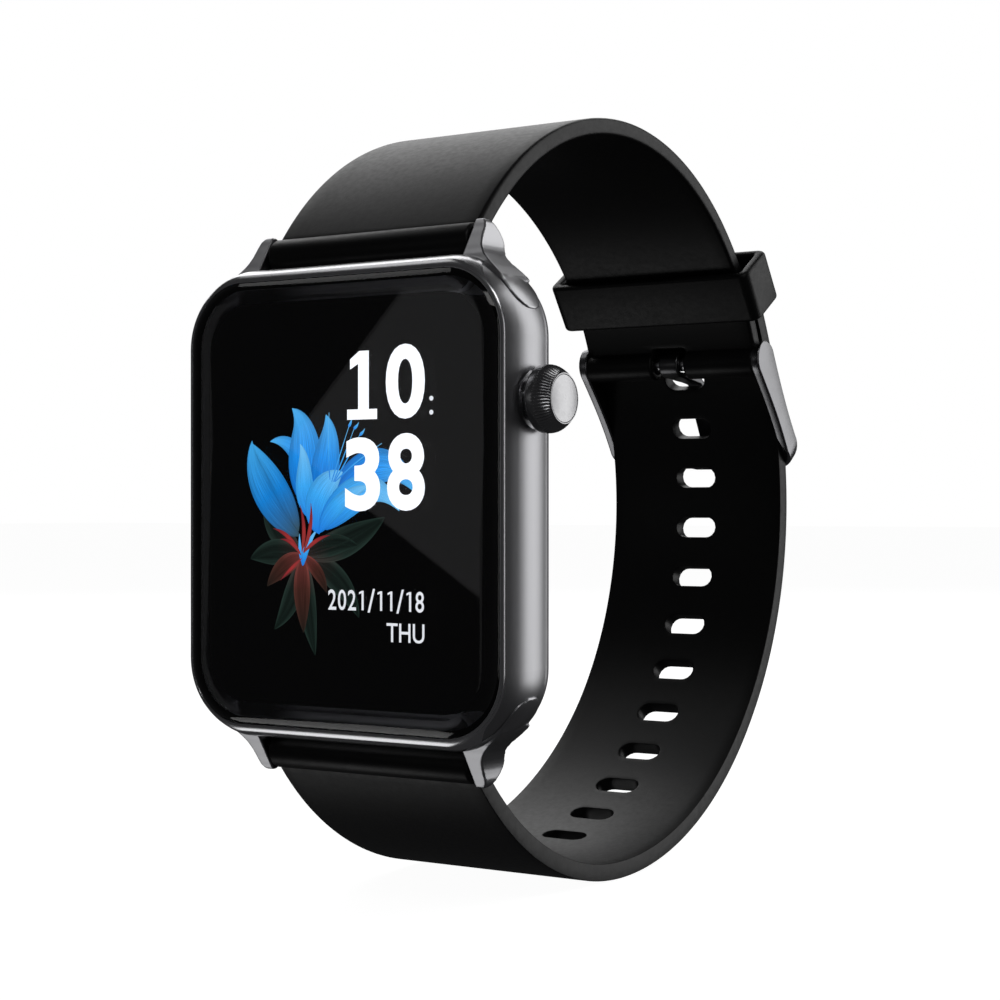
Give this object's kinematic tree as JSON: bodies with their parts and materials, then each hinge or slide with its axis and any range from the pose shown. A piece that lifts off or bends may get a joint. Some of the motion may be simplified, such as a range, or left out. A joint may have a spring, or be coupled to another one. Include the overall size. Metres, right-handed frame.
{
  "type": "smartwatch",
  "caption": "Smartwatch with a rounded rectangular case, curved dark cover glass, knurled side crown, screwed-on lugs and a buckled soft strap closed in a loop.",
  "frame": {"origin": "middle of the sensor window's face, which rests on the wrist", "axes": "+Y out of the case's back into the wrist, +Z towards 12 o'clock, +X towards the crown side"},
  "size_m": [0.0411, 0.0722, 0.0768],
  "materials": {
    "case_metal": "satin, bead-blasted",
    "lug_metal": "satin, bead-blasted",
    "dark_glass": "polished",
    "adhesive": "matt",
    "panel": "glossy",
    "backlight": "matt",
    "flex": "satin",
    "black_plastic": "matt",
    "chassis": "satin",
    "battery_foil": "satin",
    "board": "satin",
    "steel": "satin",
    "back_shell": "satin",
    "window": "polished",
    "led": "glossy",
    "sensor_chip": "glossy",
    "gold": "polished",
    "crown_metal": "satin",
    "crown_face": "fine satin",
    "seal": "matt",
    "silicone": "soft matt",
    "buckle_metal": "satin"
  },
  "bodies": {
    "case": {"case_frame": "case_metal", "lug_upper_right": "lug_metal", "lug_upper_left": "lug_metal", "lug_lower_right": "lug_metal", "lug_lower_left": "lug_metal", "lug_screws": "steel", "cover_glass": "dark_glass", "glass_adhesive": "adhesive", "display_panel": "panel", "display_backlight": "backlight", "display_flex": "flex", "flex_connector": "black_plastic", "inner_chassis": "chassis", "battery": "battery_foil", "mainboard": "board", "shield_cans": "steel", "board_screws": "steel", "vibration_motor": "steel", "antenna_flex": "flex", "side_switch": "black_plastic", "switch_bracket": "steel", "crown_tube": "steel", "rear_cover": "back_shell", "rear_gasket": "seal", "rear_screws": "steel", "sensor_window": "window", "sensor_board": "board", "sensor_leds": "led", "photodiodes": "sensor_chip", "light_barrier": "black_plastic", "charge_contacts": "gold", "charge_magnets": "steel", "crown_spring": "steel", "upper_bar_tube": "steel", "upper_bar_spring": "steel", "lower_bar_tube": "steel", "lower_bar_spring": "steel"},
    "plunger": {"switch_plunger": "steel"},
    "crown": {"crown_cap": "crown_metal", "crown_insert": "crown_face", "crown_stem": "steel", "crown_seal": "seal", "crown_clip": "steel"},
    "upper_strap": {"upper_strap_root": "silicone"},
    "back_strap": {"upper_strap_end": "silicone", "lower_strap_tail": "silicone", "buckle_bar_tube": "steel", "buckle_bar_spring": "steel"},
    "lower_strap": {"lower_strap_root": "silicone"},
    "keeper": {"keeper_loop": "silicone"},
    "buckle": {"buckle_frame": "buckle_metal"},
    "tongue": {"buckle_tongue": "buckle_metal"},
    "upper_pin": {"upper_bar_pin": "steel"},
    "lower_pin": {"lower_bar_pin": "steel"},
    "buckle_pin": {"buckle_bar_pin": "steel"}
  },
  "joints": [
    {"name": "crown_press", "type": "slide", "parent": "case", "child": "plunger", "axis": [-1, 0, 0], "range_m": [0, 0.00045], "stiffness_N_per_m": 1500, "springref_m": -0.0007, "deforming": ["crown_spring"]},
    {"name": "crown_spin", "type": "hinge", "parent": "plunger", "child": "crown", "pos_m": [0, -0.0057, 0.0092], "axis": [1, 0, 0], "continuous": true},
    {"name": "strap_sway", "type": "hinge", "parent": "case", "child": "upper_strap", "pos_m": [0, -0.0047, 0.0239], "axis": [1, 0, 0], "range_deg": [-8, 8]},
    {"name": "flex_top", "type": "hinge", "parent": "upper_strap", "child": "back_strap", "pos_m": [0, 0.03057, 0.03698], "axis": [1, 0, 0], "range_deg": [-6, 6]},
    {"name": "flex_bottom", "type": "hinge", "parent": "back_strap", "child": "lower_strap", "pos_m": [0, 0.03081, -0.03578], "axis": [1, 0, 0], "range_deg": [-6, 6]},
    {"name": "keeper_slide", "type": "hinge", "parent": "back_strap", "child": "keeper", "pos_m": [0, 0.0224, 0.0065], "axis": [1, 0, 0], "range_deg": [-5.5, 13.5]},
    {"name": "buckle_swing", "type": "hinge", "parent": "back_strap", "child": "buckle", "pos_m": [0, 0.05204, 0.0162], "axis": [1, 0, 0], "range_deg": [0, 8]},
    {"name": "tongue_swing", "type": "hinge", "parent": "back_strap", "child": "tongue", "pos_m": [0, 0.05204, 0.0162], "axis": [1, 0, 0], "range_deg": [0, 8]},
    {"name": "upper_pin_slide", "type": "slide", "parent": "case", "child": "upper_pin", "axis": [-1, 0, 0], "range_m": [0, 0.00105], "stiffness_N_per_m": 400, "springref_m": -0.002, "deforming": ["upper_bar_spring"]},
    {"name": "lower_pin_slide", "type": "slide", "parent": "case", "child": "lower_pin", "axis": [-1, 0, 0], "range_m": [0, 0.00105], "stiffness_N_per_m": 400, "springref_m": -0.002, "deforming": ["lower_bar_spring"]},
    {"name": "buckle_pin_slide", "type": "slide", "parent": "back_strap", "child": "buckle_pin", "axis": [-1, 0, 0], "range_m": [0, 0.00105], "stiffness_N_per_m": 400, "springref_m": -0.002, "deforming": ["buckle_bar_spring"]}
  ],
  "couplings": [
    {"joint": "flex_top", "follows": "strap_sway", "ratio": -0.65772},
    {"joint": "flex_bottom", "follows": "strap_sway", "ratio": 0.6531},
    {"joint": "tongue_swing", "follows": "buckle_swing", "ratio": 1}
  ]
}
